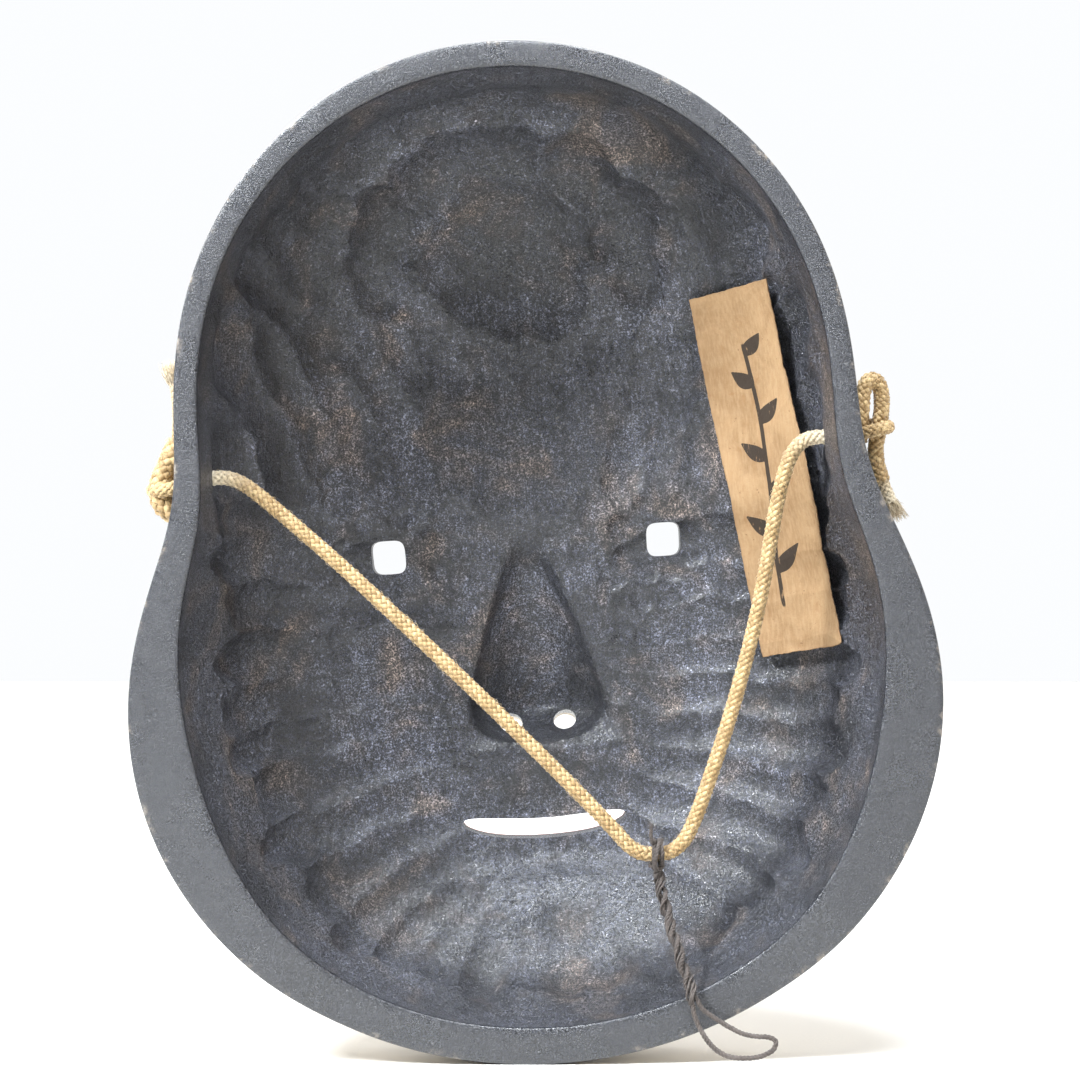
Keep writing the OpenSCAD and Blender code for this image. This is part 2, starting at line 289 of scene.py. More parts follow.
def eye_marks():
    """Small round cuts, like pebbles, round each eye hole."""
    marks = []
    for side in (-1, 1):
        for radius, count, size in ((7.0, 7, 4.4), (13.0, 12, 4.5)):
            for k in range(count):
                a = math.radians(360 * (k + 0.4 * rng.rand()) / count)
                marks.append(scoop(
                    side * EYE_X + radius * 1.2 * math.cos(a), EYE_Z + 0.5 + radius * 0.95 * math.sin(a),
                    math.degrees(a), size * 1.1, size, 1.9 - 0.5 * (radius > 10), 0.4))
    return marks


def middle_marks():
    """Shallow cuts between the eyes, beside the nose, and round the mouth and chin."""
    marks = []
    for side in (-1, 1):
        for k in range(5):
            marks.append(scoop(side * (16 + 1.5 * k), 6 - 9 * k, 96, 8, 5.5, 0.9, 0.3))
            marks.append(scoop(side * (5 + 7 * k), 44 - 5 * rng.rand(), 92, 13, 4.4, 0.55, 0.3))
        for k in range(4):
            marks.append(scoop(side * (6 + 8 * k), MOUTH_Z + 10 + k, 20 * side, 7, 5, 0.7, 0.2))
            marks.append(scoop(side * (6 + 10 * k), MOUTH_Z - 13 + 1.6 * k, 90, 11, 7, 0.8, 0.3))
    return marks


MARKS = fan_marks() + brow_marks() + eye_marks() + middle_marks()
DEEPEN = 1.35           # all the cuts together
CREASE_W = 0.13         # difference in depth over which a crease fades
NOSE_SLIMMER = 2.2      # the hollow's nose against the outer one, in mm


def carve(x, z):
    """Depth of the gouge marks in mm, and an amount of painted shade, 0 to 1: along the crease between two
    marks, along each mark's shallow edge, and round the nose recess.
    """
    best, second = np.zeros_like(x), np.zeros_like(x)
    xx = x + 0.7 * np.sin(z * 0.31 + 1.3) + 0.35 * np.sin(z * 0.83 + x * 0.21)
    zz = z + 0.7 * np.sin(x * 0.27 + 0.4) + 0.35 * np.sin(x * 0.71 - z * 0.19)
    for cx, cz, lean, half_l, half_w, depth, skew, round_end in MARKS:
        dx, dz = xx - cx, zz - cz
        u = (dx * math.cos(lean) + dz * math.sin(lean)) / half_l
        v = (dz * math.cos(lean) - dx * math.sin(lean)) / half_w
        inside = np.clip(1 - np.abs(u) ** round_end - v ** 2, 0, None)
        d = DEEPEN * depth * inside ** 0.72 * (1 + skew * np.clip(u, -1, 1))
        second = np.maximum(second, np.minimum(best, d))
        best = np.maximum(best, d)
    # Painted shade: these lines darken the wood's colour in the creases between marks, along their edges and
    # round the nose recess.
    crest = np.exp(-(best - second) / CREASE_W) * ease(0.05, 0.30, second)
    edge = 0.65 * hump(best, 0.10, 0.09)
    fade = 1 - ease(0.95, 0.988, reach_hollow(x, z))
    # The carver left the wood smooth at the chin and in the nose recess.
    groove = nose(x, z, NOSE_SLIMMER)
    left = (1 - 0.72 * bump(x, z, 4, -80, 30, 12)) * (1 - 0.85 * ease(0.03, 0.12, groove))
    recess = 2.2 * ease(0.05, 0.30, groove)
    recess_rim_shade = hump(groove, 0.16, 0.09)
    return best * fade * left + recess, np.maximum(np.maximum(crest, edge) * fade * left, 0.45 * recess_rim_shade)


# ---- meshes

def add_object(name, data):
    obj = bpy.data.objects.new(name, data)
    bpy.context.scene.collection.objects.link(obj)
    return obj


def make_object(name, verts_mm, faces, smooth=True):
    mesh = bpy.data.meshes.new(name)
    mesh.from_pydata([tuple(v) for v in np.asarray(verts_mm, float) * MM], [], [tuple(f) for f in faces])
    mesh.validate()
    mesh.update()
    if smooth:
        mesh.polygons.foreach_set("use_smooth", np.ones(len(mesh.polygons), bool))
    return add_object(name, mesh)


def set_attributes(obj, **values):
    """A value per point, under each name."""
    for name, value in values.items():
        attribute = obj.data.attributes.new(name, "FLOAT", "POINT")
        attribute.data.foreach_set("value", np.asarray(value, np.float32))


def points_mm(obj):
    co = np.empty(len(obj.data.vertices) * 3)
    obj.data.vertices.foreach_get("co", co)
    return co.reshape(-1, 3) / MM


def ring_reach(rings):
    t = np.arange(1, rings + 1) / rings
    return np.sin(np.radians(90 * t ** 0.92)) ** 1.15


def polar_grid(edge_x, edge_z, rings, height):
    """A middle point and rings of points out to an edge, with Y from height(x, z)."""
    mid_z = NOSE_TIP_Z + 6
    t = ring_reach(rings)[:, None]
    x, z = t * edge_x[None, :], mid_z + t * (edge_z[None, :] - mid_z)
    y = height(x, z)
    grid = np.stack([x, y, z], -1)
    middle = np.array([[0.0, float(height(np.array(0.0), np.array(mid_z))), mid_z]])
    return middle, grid


def grid_normals(grid):
    """Normals of a closed polar grid, which point to +Y."""
    along = np.roll(grid, -1, 1) - np.roll(grid, 1, 1)
    out = np.gradient(grid, axis=0)
    n = unit(np.cross(out, along))
    return np.where(n[..., 1:2] < 0, -n, n)


def ring_faces(rings, around, first):
    """Faces between rings of points, one after another from the point at index first."""
    faces = []
    for i in range(rings - 1):
        a, b = first + i * around, first + (i + 1) * around
        faces += [[a + j, b + j, b + (j + 1) % around, a + (j + 1) % around] for j in range(around)]
    return faces


def closed_shell(name, front, band, back):
    """A closed mesh of a front cap, a stack of rings and a back cap, all with as many points round."""
    (mid_f, grid_f), (mid_b, grid_b) = front, back
    around = grid_f.shape[1]
    verts = np.vstack([mid_f, grid_f.reshape(-1, 3)] + [b.reshape(-1, 3) for b in band]
        + [grid_b[::-1].reshape(-1, 3), mid_b])
    faces = [[0, 1 + j, 1 + (j + 1) % around] for j in range(around)]
    faces += ring_faces(len(grid_f) + len(band) + len(grid_b), around, 1)
    last = len(verts) - 1
    start = last - around
    faces += [[start + j, last, start + (j + 1) % around] for j in range(around)]
    return make_object(name, verts, faces)


def edge_points(around, inset):
    angle = 360 * np.arange(around) / around
    side = np.where(angle > 180, 360 - angle, angle)
    r = outline_r(side) - (rim_w(side) * inset if inset else 0)
    return r * np.sin(np.radians(angle)), r * np.cos(np.radians(angle)), side


def squarish(half, steps=40):
    """A square with round corners."""
    a = 2 * np.pi * np.arange(steps) / steps
    return [(half * math.copysign(abs(math.cos(t)) ** 0.5, math.cos(t)),
        half * math.copysign(abs(math.sin(t)) ** 0.5, math.sin(t))) for t in a]


def mouth_outline(steps=48):
    t = np.linspace(-1, 1, steps + 1)
    mid = MOUTH_RISE * t * t
    half = MOUTH_H / 2 * np.sqrt(np.clip(1 - t ** 4, 0, None)) + 0.01
    low = [(MOUTH_W / 2 * a, m - h) for a, m, h in zip(t, mid, half)]
    high = [(MOUTH_W / 2 * a, m + h) for a, m, h in zip(t[::-1], mid[::-1], half[::-1])]
    return low + high


def prism(name, outline, matrix, length=80.0):
    """A straight prism along its own Z, centred, with the outline in its X and Y."""
    n = len(outline)
    pts = [matrix @ Vector((x, y, s * length / 2)) for s in (-1, 1) for x, y in outline]
    faces = [list(range(n))[::-1], list(range(n, 2 * n))]
    faces += [[j, (j + 1) % n, n + (j + 1) % n, n + j] for j in range(n)]
    return make_object(name, [tuple(p) for p in pts], faces, smooth=False)


def circle(r, steps=48):
    turns = [2 * math.pi * k / steps for k in range(steps)]
    return [(r * math.cos(a), r * math.sin(a)) for a in turns]


def cutters():
    """All the openings through the shell, as one object."""
    look = Matrix.Rotation(math.radians(90), 4, "X")     # own Z to -Y, own Y to +Z
    parts = []
    for side in (-1, 1):
        at = Matrix.Translation((side * EYE_X, 50, EYE_Z)) @ look
        parts.append(prism("cut_eye", squarish(EYE_HOLE / 2), at))
        tilt = Matrix.Rotation(math.radians(90 - NOSTRIL_TILT), 4, "X")
        parts.append(prism("cut_nostril", circle(NOSTRIL_R),
            Matrix.Translation((side * NOSTRIL_X, DOME_D + 6, NOSTRIL_Z)) @ tilt, 60))
        across = Matrix.Rotation(math.radians(90), 4, "Y")
        parts.append(prism("cut_cord", circle(CORD_HOLE_R),
            Matrix.Translation((side * 64, HOLE_Y, HOLE_Z)) @ across, 18))
    parts.append(prism("cut_mouth", mouth_outline(), Matrix.Translation((0, 50, MOUTH_Z)) @ look))
    bpy.ops.object.select_all(action="DESELECT")
    for p in parts:
        p.select_set(True)
    bpy.context.view_layer.objects.active = parts[0]
    bpy.ops.object.join()
    bpy.ops.object.mode_set(mode="EDIT")
    bpy.ops.mesh.select_all(action="SELECT")
    bpy.ops.mesh.normals_make_consistent(inside=False)
    bpy.ops.object.mode_set(mode="OBJECT")
    return parts[0]


def cut(obj, cutter):
    mod = obj.modifiers.new("openings", "BOOLEAN")
    mod.operation = "DIFFERENCE"
    mod.solver = "MANIFOLD"
    mod.object = cutter
    bpy.context.view_layer.update()
    mesh = bpy.data.meshes.new_from_object(obj.evaluated_get(bpy.context.evaluated_depsgraph_get()))
    obj.modifiers.clear()
    old, obj.data = obj.data, mesh
    bpy.data.meshes.remove(old)
    obj.data.polygons.foreach_set("use_smooth", np.ones(len(obj.data.polygons), bool))
    obj.data.set_sharp_from_angle(angle=math.radians(38))
    obj.data.update()


COAT_T = 0.55
PAINT_EDGE = 0.9


def build_shell():
    """The carved wood, closed, and the painted ground coat on its face."""
    around, rings = 440, 176
    ox, oz, side = edge_points(around, 0)
    ix, iz, _ = edge_points(around, 1)
    dip = rim_y(side)

    def front_grid(count, thick, deeper=0.0):
        """The front set back by thick, and by deeper more away from the rim, so no fold shows through."""
        middle, grid = polar_grid(ox, oz, count, front_y)
        grid[-1, :, 1] = dip + PAINT_EDGE
        n = grid_normals(grid)
        n[-1, :, 1] = 0
        n[-1] = unit(n[-1])
        inland = 1 - (np.arange(1, count + 1) / count) ** 8
        return middle - [0, thick + deeper, 0], grid - n * (thick + deeper * inland[:, None, None])

    # The wood: a plain outside under the paint, the flat rim, and the gouged hollow.
    middle_f, grid_f = front_grid(28, COAT_T, 1.0)
    middle_b, grid_b = polar_grid(ix, iz, rings, hollow_y)
    n = grid_normals(grid_b)
    depth, _ = carve(grid_b[..., 0], grid_b[..., 2])
    raised = 0.35 * (1 - ease(0.95, 1.0, reach_hollow(grid_b[..., 0], grid_b[..., 2])))
    grid_b = grid_b + n * (depth - raised)[..., None]
    grid_b[-1, :, 1] = dip + 0.7
    unit_x, unit_z = ox / np.hypot(ox, oz), oz / np.hypot(ox, oz)
    wide = np.hypot(ox - ix, oz - iz)
    wave = 0.05 * np.sin(np.arange(around) * 0.37) + 0.04 * np.sin(np.arange(around) * 0.11 + 2)
    band = []
    # Rings over the rim: how far in from the outer edge, or back from the inner one, and how far forward.
    for inward, lift in ((0.0, 0.45), (0.12, 0.16), (0.4, 0.02), (1.4, 0.0),
                         (-2.2, 0.0), (-0.7, 0.03), (-0.25, 0.16), (-0.06, 0.38)):
        off = inward if inward >= 0 else wide + inward
        height = dip + lift + (wave * 0.6 if 0 < inward < 1 else 0)
        band.append(np.stack([ox - unit_x * off, height, oz - unit_z * off], -1))
    wood = closed_shell("carved_wood", (middle_f, grid_f), band, (middle_b, grid_b))

    # The paint: a thin closed skin over the front.
    middle_o, grid_o = front_grid(178, 0.0)
    middle_i, grid_i = front_grid(28, COAT_T - 0.04, 1.0)
    coat = closed_shell("painted_face", (middle_o, grid_o), [], (middle_i, grid_i))
    return wood, coat


cutter = cutters()
wood, coat = build_shell()
for piece in (wood, coat):
    cut(piece, cutter)
bpy.data.objects.remove(cutter)

p = points_mm(wood)
x, z = p[:, 0], p[:, 2]
depth, crest = carve(x, z)
is_hollow = (p[:, 1] < hollow_y(x, z) + 2.6) & (reach_hollow(x, z) < 0.9999)
on_rim = (p[:, 1] < rim_y(side_angle(x, z)) + 1.2) & (reach_hollow(x, z) > 0.995)
from_edge = (1 - reach_front(x, z)) * outline_r(side_angle(x, z))
# The crease value and chin carry painted shade along the gouge creases and a painted highlight over the chin
# into the wood's material.
set_attributes(wood, gouge=np.where(is_hollow, depth, 0), crest=np.where(is_hollow, crest, 0), rim=on_rim,
    brink=hump(from_edge, 0, 0.7) * on_rim, chin=bump(x, z, 4, -76, 34, 15))

p = points_mm(coat)
x, z = p[:, 0], p[:, 2]
up, low, t = eye_edges(x)
set_attributes(coat, hair=hair_field(x, z), brow=brow_field(x, z), lips=lip_field(x, z),
    eye=np.maximum(np.maximum(z - up, low - z), (np.abs(t) - 1) * 14),
    lid=np.where(np.abs(t) < 1.12, np.abs(z - up), 9),
    iris=np.hypot(np.abs(x) - EYE_X, z - EYE_Z) - 5.2, blush=bump(np.abs(x), z, 42, -30, 18, 18))

# ---- cord, knots and twine

def smooth_path(points, step=0.25):
    """A smooth line through points, in mm, with samples a step apart."""
    pts = np.asarray(points, float)
    ends = np.vstack([2 * pts[0] - pts[1], pts, 2 * pts[-1] - pts[-2]])
    out = []
    for i in range(len(pts) - 1):
        a, b, c, d = ends[i:i + 4]
        t = np.linspace(0, 1, 24, endpoint=False)[:, None]
        out.append(0.5 * (2 * b + (c - a) * t + (2 * a - 5 * b + 4 * c - d) * t ** 2
            + (3 * b - a - 3 * c + d) * t ** 3))
    line = np.vstack(out + [pts[-1:]])
    return resample(line, step)


def line_length(line):
    return float(norm(np.diff(line, axis=0), axis=1).sum())


def resample(line, step):
    at = np.concatenate([[0], np.cumsum(norm(np.diff(line, axis=0), axis=1))])
    n = max(2, int(round(at[-1] / step)) + 1)
    s = np.linspace(0, at[-1], n)
    return np.stack([np.interp(s, at, line[:, k]) for k in range(3)], -1)


def frames_along(line):
    """Directions along a line, with two more square to it that turn as little as they can."""
    t = unit(np.gradient(line, axis=0))
    u = np.empty_like(t)
    start = np.array([0.0, 1.0, 0.0]) if abs(t[0][1]) < 0.9 else np.array([1.0, 0.0, 0.0])
    u[0] = unit(start - t[0] * (start @ t[0]))
    for i in range(1, len(t)):
        u[i] = unit(u[i - 1] - t[i] * (u[i - 1] @ t[i]))
    return t, u, np.cross(t, u)


class Tubes:
    """Collects tubes into one mesh, with a value per point."""

    def __init__(self):
        self.verts, self.faces, self.tone, self.end, self.high, self.count = [], [], [], [], [], 0

    def add(self, line, radius, sides=6, tone=0.5, end=0.0, flat=1.0, normal=None, over=None):
        """One tube. radius and end are numbers or one per sample; flat under 1 squashes it along normal.

        over, one per sample, is 1 where a strand lies on top of the braid and 0 where it lies under another.
        """
        n = len(line)
        t, u, w = frames_along(line)
        if normal is not None:
            u = unit(normal - t * np.sum(normal * t, axis=1, keepdims=True))
            w = np.cross(t, u)
        a = 2 * np.pi * np.arange(sides) / sides
        r = np.broadcast_to(np.asarray(radius, float), (n,))[:, None, None]
        cos, sin = np.cos(a)[None, :, None], np.sin(a)[None, :, None]
        ring = (cos * u[:, None, :] * flat + sin * w[:, None, :]) * r
        self.verts.append((line[:, None, :] + ring).reshape(-1, 3))
        c = self.count
        for i in range(n - 1):
            for k in range(sides):
                low, high, m = c + i * sides, c + (i + 1) * sides, (k + 1) % sides
                self.faces.append((low + k, low + m, high + m, high + k))
        self.faces.append(tuple(c + k for k in range(sides))[::-1])
        self.faces.append(tuple(c + (n - 1) * sides + k for k in range(sides)))
        for values, value in ((self.tone, tone), (self.end, end)):
            values.append(np.repeat(np.broadcast_to(np.asarray(value, float), (n,)), sides))
        # high also carries painted shade: the braid material darkens the low points, under crossings and on a
        # strand's inner side.
        if over is None:
            self.high.append(np.ones(n * sides))
        else:
            top = 0.5 + 0.5 * np.cos(a)[None, :]
            self.high.append((np.asarray(over, float)[:, None] * 0.55 + top * 0.45).ravel())
        self.count += n * sides

    def build(self, name):
        obj = make_object(name, np.vstack(self.verts), self.faces)
        set_attributes(obj, tone=np.concatenate(self.tone), end=np.concatenate(self.end),
            high=np.concatenate(self.high))
        return obj


EACH_WAY = 6            # strands that turn each way round the braid
PER_TURN = 26           # samples along a strand in one turn


def braid(tubes, line, radius, pitch=8.6, end=None):
    """A round braid along a line: strands that turn both ways and pass over and under each other."""
    length = line_length(line)
    line = resample(line, pitch / PER_TURN)
    t, u, w = frames_along(line)
    s = np.linspace(0, length, len(line))
    r_mid, lift, half_w, thick = 0.70 * radius, 0.13 * radius, 0.30 * radius, 0.62
    for turn in (1, -1):
        for k in range(EACH_WAY):
            a = turn * 2 * np.pi * s / pitch + 2 * np.pi * k / EACH_WAY
            weave = turn * np.cos(2 * np.pi * s / pitch * EACH_WAY)
            out = np.cos(a)[:, None] * u + np.sin(a)[:, None] * w
            strand = line + out * (r_mid + lift * weave)[:, None]
            tubes.add(strand, half_w * (1 + 0.12 * weave), tone=rng.rand(), flat=thick, normal=out,
                end=0 if end is None else end(s / length), over=0.5 + 0.5 * weave)
    # The core lies under every strand, so the braid material shows it in painted shade through the gaps.
    tubes.add(line, 0.60 * radius, tone=0.1, over=np.zeros(len(line)))


def fray(tubes, root, direction, count, length, spread, radius=0.09, curl=0.5):
    """Loose fibres that leave a cord's end."""
    d = unit(np.asarray(direction, float))
    for _ in range(count):
        side = sideways(d)
        l = length * (0.45 + 0.55 * rng.rand())
        away = spread * (0.15 + 0.85 * rng.rand())
        bend = rng.normal(size=3) * curl
        t = np.linspace(0, 1, 9)[:, None]
        start = np.asarray(root, float) + side * 0.9 * rng.rand()
        fibre = start + d * l * t + side * away * t ** 1.6 + bend * np.sin(np.pi * t) * 0.6 * t
        tubes.add(fibre, radius * (1 - 0.6 * t[:, 0]), 4, tone=rng.rand(), end=0.35 + 0.5 * rng.rand())


KNOT_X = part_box("cord_knot_left")[0].x / -MM - 4.2       # middle of each knot, out from the middle plane
CORD_END_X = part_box("cord_loop")[1].x / MM
CORD_R = CORD_D / 2

cord_route = [
    (-CORD_END_X, 20), (-65.8, 20), (-63.4, 20), (-61, 19.9), (-58.4, 18.9), (-55.4, 16.7), (-50.4, 12),
    (-44, 5.7), (-37, -1.4), (-30, -8.8), (-23, -16.3), (-16, -23.9), (-9, -31.6), (-2, -39.4), (4, -46.2),
    (9, -52), (12.4, -56), (15, -59.2), (17.4, -62.1), (20, -63.8), (23, -64), (26, -63.8), (28.9, -61.6),
    (31.2, -57.8), (33.4, -53), (36.2, -46.4), (39.2, -39), (42.1, -31.2), (44.9, -23), (47.4, -14.8),
    (49.6, -6.6), (51.4, 1), (53, 7.4), (54.8, 13), (56.6, 16.8), (58.8, 19.2), (61.2, 20), (63.8, 20),
    (66.2, 20), (CORD_END_X, 20),
]
cord_line = smooth_path([(x, HOLE_Y, z) for x, z in cord_route])
CORD_LEN = line_length(cord_line)

tubes = Tubes()
braid(tubes, cord_line, CORD_R, end=lambda s: hump(s, 0, 0.045) + hump(s, 1, 0.045))
# A few fibres stand off the braid.
for _ in range(260):
    i = rng.randint(20, len(cord_line) - 20)
    t = unit(cord_line[i + 1] - cord_line[i])
    side = sideways(t)
    q = np.linspace(0, 1, 5)[:, None]
    reach = 0.5 + 1.2 * rng.rand()
    fibre = cord_line[i] + side * (CORD_R * 0.93 + 0.35 * np.sin(np.pi * q)) + t * reach * q
    tubes.add(fibre, 0.035, 3, tone=rng.rand(), end=0.4)
cord = tubes.build("braided_cord")


def beside(at_x, points):
    """A smooth line through points whose X is counted from at_x."""
    return smooth_path([(at_x + x, y, z) for x, y, z in points])


def collar(middle, radii, rise, turns, phase, wobble=0.0):
    """A strand wound round a knot: its middle, its radii in X and Y, and how far it climbs."""
    q = np.linspace(0, 1, 70)
    a = 2 * np.pi * turns * q
    off = (radii[0] * np.cos(a + phase), radii[1] * np.sin(a + phase), rise * q + wobble * np.sin(a))
    return resample(np.stack([m + o for m, o in zip(middle, off)], -1), 0.25)


# The left knot is a fat bulge that tapers up behind the rim. Its thin tail runs on up the temple and frays.
bulge = beside(-KNOT_X, ((2.6, 15.2, 13.6), (0.6, 14.8, 13.4), (-1.5, 14.8, 15.2), (-2.1, 15.1, 18.2),
    (-1.1, 15.6, 21.6), (0.7, 16.2, 25), (2.0, 16.8, 28)))
tubes = Tubes()
braid(tubes, bulge, 2.45, pitch=10.5)
braid(tubes, collar((-KNOT_X - 0.3, 15.4, 17), (3.2, 2.9), 3.6, 1.3, 0, 0.9), 1.55, pitch=7.6)
knot_left = tubes.build("knot_left")
tail_line = beside(-KNOT_X, ((1.7, 16.8, 27.2), (2.2, 17.4, 31), (2.4, 17.8, 35.4), (2.1, 18.1, 40.2)))
tubes = Tubes()
braid(tubes, tail_line, 1.2, pitch=7, end=lambda s: 0.5 * s)
fray(tubes, tail_line[-6], np.array([-0.10, 0.05, 1.0]), 340, 6.4, 2.0, radius=0.075, curl=0.9)
tail_left = tubes.build("tail_left")

# The right knot is the cord folded back on itself, with one turn round both runs and a frayed end below.
fold = beside(KNOT_X, ((-3.6, 15, 19.9), (-1.9, 14.6, 21.6), (-1.2, 14.4, 25), (-0.7, 14.6, 28.4),
    (0.6, 15.1, 30.9), (2.4, 15.7, 30.8), (3.3, 16.1, 28.4), (3.1, 16.2, 24.6), (2.2, 16, 20.6),
    (1.3, 15.6, 16.8), (1.4, 15.4, 13.4), (2.2, 15.8, 10.2)))
tubes = Tubes()
braid(tubes, fold, 1.75, pitch=8)
braid(tubes, collar((KNOT_X + 0.9, 15.5, 19.4), (3.3, 3.0), 3.2, 1.2, 2), 1.45, pitch=7.2)
knot_right = tubes.build("knot_right")
tail_line = beside(KNOT_X, ((2.0, 15.8, 10.8), (2.9, 16.4, 8.2), (3.9, 17, 5.6)))
tubes = Tubes()
braid(tubes, tail_line, 1.4, pitch=7.4, end=lambda s: 0.4 + 0.6 * s)
fray(tubes, tail_line[-8], tail_line[-1] - tail_line[-8], 340, 6.2, 1.7, radius=0.075, curl=0.8)
tail_right = tubes.build("tail_right")

# The twine: one doubled strand from the hitch, twisted, then an open loop. Its line runs down one strand
# and back up the other.
TWINE_R = TWINE_D / 2
HITCH = np.array([23.0, HOLE_Y, -64.0])
twist_line = smooth_path([(23, 15, -67.3), (23.3, 14.2, -70.4), (24, 12.3, -74.4), (24.8, 9.4, -78.6),
    (25.7, 6.3, -82.6), (26.6, 3.6, -86.6), (27.4, 1.7, -90.2), (28.2, 1.1, -93.2)], 0.3)
loop_line = smooth_path([(27.6, 1.1, -93.5), (28, 0.9, -96), (29.2, 0.6, -99.2), (31.2, 0, -102.2),
    (33.8, -0.6, -104), (37, -1.1, -104.6), (40.4, -1.5, -104.4), (43, -1.7, -103.3), (43.8, -1.7, -101.7),
    (42.6, -1.4, -100.7), (40, -0.9, -100.4), (37.4, -0.4, -99.8), (34.8, 0.2, -98.4), (32.2, 0.7, -96.6),
    (30, 1, -94.9), (28.9, 1.1, -93.3)], 0.3)
TWIST_PITCH = 7.2
TWIST_OUT = 0.66
t, u, w = frames_along(twist_line)
along = np.linspace(0, line_length(twist_line), len(twist_line))
# The turn is set so that both strands meet the loop's two ends.
to_loop = loop_line[0] - twist_line[-1]
last = math.atan2(to_loop @ w[-1], to_loop @ u[-1])
spin = last - 2 * np.pi * (along[-1] - along) / TWIST_PITCH
off_a, off_b = (np.cos(spin + k)[:, None] * u + np.sin(spin + k)[:, None] * w for k in (0, np.pi))
strand_a, strand_b = twist_line + TWIST_OUT * off_a, twist_line + TWIST_OUT * off_b
twine_line = resample(np.vstack([strand_a, loop_line[1:-1], strand_b[::-1]]), 0.3)
TWINE_LEN = line_length(twine_line)


PLIES = 3


def ply(tubes, line, radius, pitch, tone, rough):
    """A strand laid up of finer plies."""
    t, u, w = frames_along(line)
    s = np.linspace(0, line_length(line), len(line))
    for k in range(PLIES):
        a = 2 * np.pi * s / pitch + 2 * np.pi * k / PLIES
        jitter = 1 + rough * np.interp(s, np.linspace(0, s[-1], 40), rng.normal(size=40))
        off = (np.cos(a)[:, None] * u + np.sin(a)[:, None] * w) * jitter[:, None]
        tubes.add(line + 0.46 * radius * off, radius * 0.56, tone=tone + 0.25 * rng.rand())


tubes = Tubes()
ply(tubes, twine_line, TWINE_R, 2.3, tone=0.2, rough=0.12)
# Loose yarns wander round the twisted pair, and short fibres stand off it.
for k in range(5):
    turns = 2 * np.pi * (along / (5.5 + 3 * rng.rand()) + rng.rand())
    away = 0.95 + 0.35 * np.sin(along * (0.5 + 0.4 * rng.rand()) + 6 * rng.rand())
    yarn = twist_line + away[:, None] * (np.cos(turns)[:, None] * u + np.sin(turns)[:, None] * w)
    tubes.add(yarn, 0.17 + 0.08 * rng.rand(), 5, tone=rng.rand())
for _ in range(700):
    i = rng.randint(2, len(twist_line) - 2)
    side = unit(rng.normal(size=3))
    q = np.linspace(0, 1, 6)[:, None]
    reach = 0.3 + 0.8 * rng.rand()
    hair = twist_line[i] + side * (0.7 + reach * q) + np.clip(rng.normal(size=3), -1.2, 1.2) * 0.35 * q ** 2
    tubes.add(hair, 0.032, 3, tone=rng.rand())
twine = tubes.build("twine_strand")

# The hitch: uneven turns round the cord, a strand across them, and a tiny tail that stands up.
tubes = Tubes()
q = np.linspace(0, 1, 150)
wrap_r = CORD_R + 0.35 + TWINE_R
a = 2 * np.pi * 2.35 * q - 0.6 * np.pi
uneven_r = wrap_r + 0.15 * np.sin(a * 1.7)
wrap = np.stack([HITCH[0] - 1.3 + 2.5 * q + 0.45 * np.sin(a * 0.8 + 1), HITCH[1] + uneven_r * np.cos(a),
    HITCH[2] + uneven_r * np.sin(a)], -1)
ply(tubes, resample(wrap, 0.25), TWINE_R, 2.2, tone=0.2, rough=0.12)
cross = smooth_path([(24.2, 14.8, -61.3), (23.6, 12.9, -61.8), (22.9, 11.9, -63.8), (22.4, 12.3, -66),
    (22.9, 13.8, -67.4)])
ply(tubes, cross, TWINE_R * 0.9, 2.2, tone=0.3, rough=0.12)
knot_t = np.linspace(0, 2 * np.pi, 60)
nub = np.stack([HITCH[0] + 1.0 * np.cos(knot_t), HITCH[1] + 0.8 * np.sin(knot_t) - 0.4,
                HITCH[2] - wrap_r - 0.4 + 0.35 * np.cos(2 * knot_t)], -1)
ply(tubes, nub, TWINE_R, 2.2, tone=0.2, rough=0.1)
stub = smooth_path([(22.2, 12.9, -61.6), (21.9, 12.6, -59.9), (22.1, 12.5, -58.6)], 0.25)
ply(tubes, stub, 0.42, 1.8, tone=0.25, rough=0.15)
fray(tubes, stub[-1], stub[-1] - stub[-3], 40, 1.7, 0.6, 0.035)
for _ in range(160):
    side = unit(np.array([0.7 * rng.normal(), rng.normal(), rng.normal()]))
    q = np.linspace(0, 1, 6)[:, None]
    hair = HITCH + side * (wrap_r + 0.3 + (0.3 + 0.7 * rng.rand()) * q) + rng.normal(size=3) * 0.4 * q ** 2
    tubes.add(hair, 0.032, 3, tone=rng.rand())
hitch = tubes.build("twine_hitch_wraps")

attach(cord, "cord")
for piece in (knot_left, knot_right, tail_left, tail_right):
    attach(piece, "mask")
for piece in (twine, hitch):
    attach(piece, "twine")
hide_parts("cord_loop")
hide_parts("cord_knot_left")
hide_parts("cord_knot_right")
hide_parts("cord_tail_left")
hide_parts("cord_tail_right")
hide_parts("twine_twist", "twine_loop")
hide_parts("twine_hitch")

# ---- paper slip

LABEL_W, LABEL_L, LABEL_T = 16.0, 79.0, 0.28
LABEL_AT, LABEL_LEAN = (52.4, 14.2), math.radians(8)


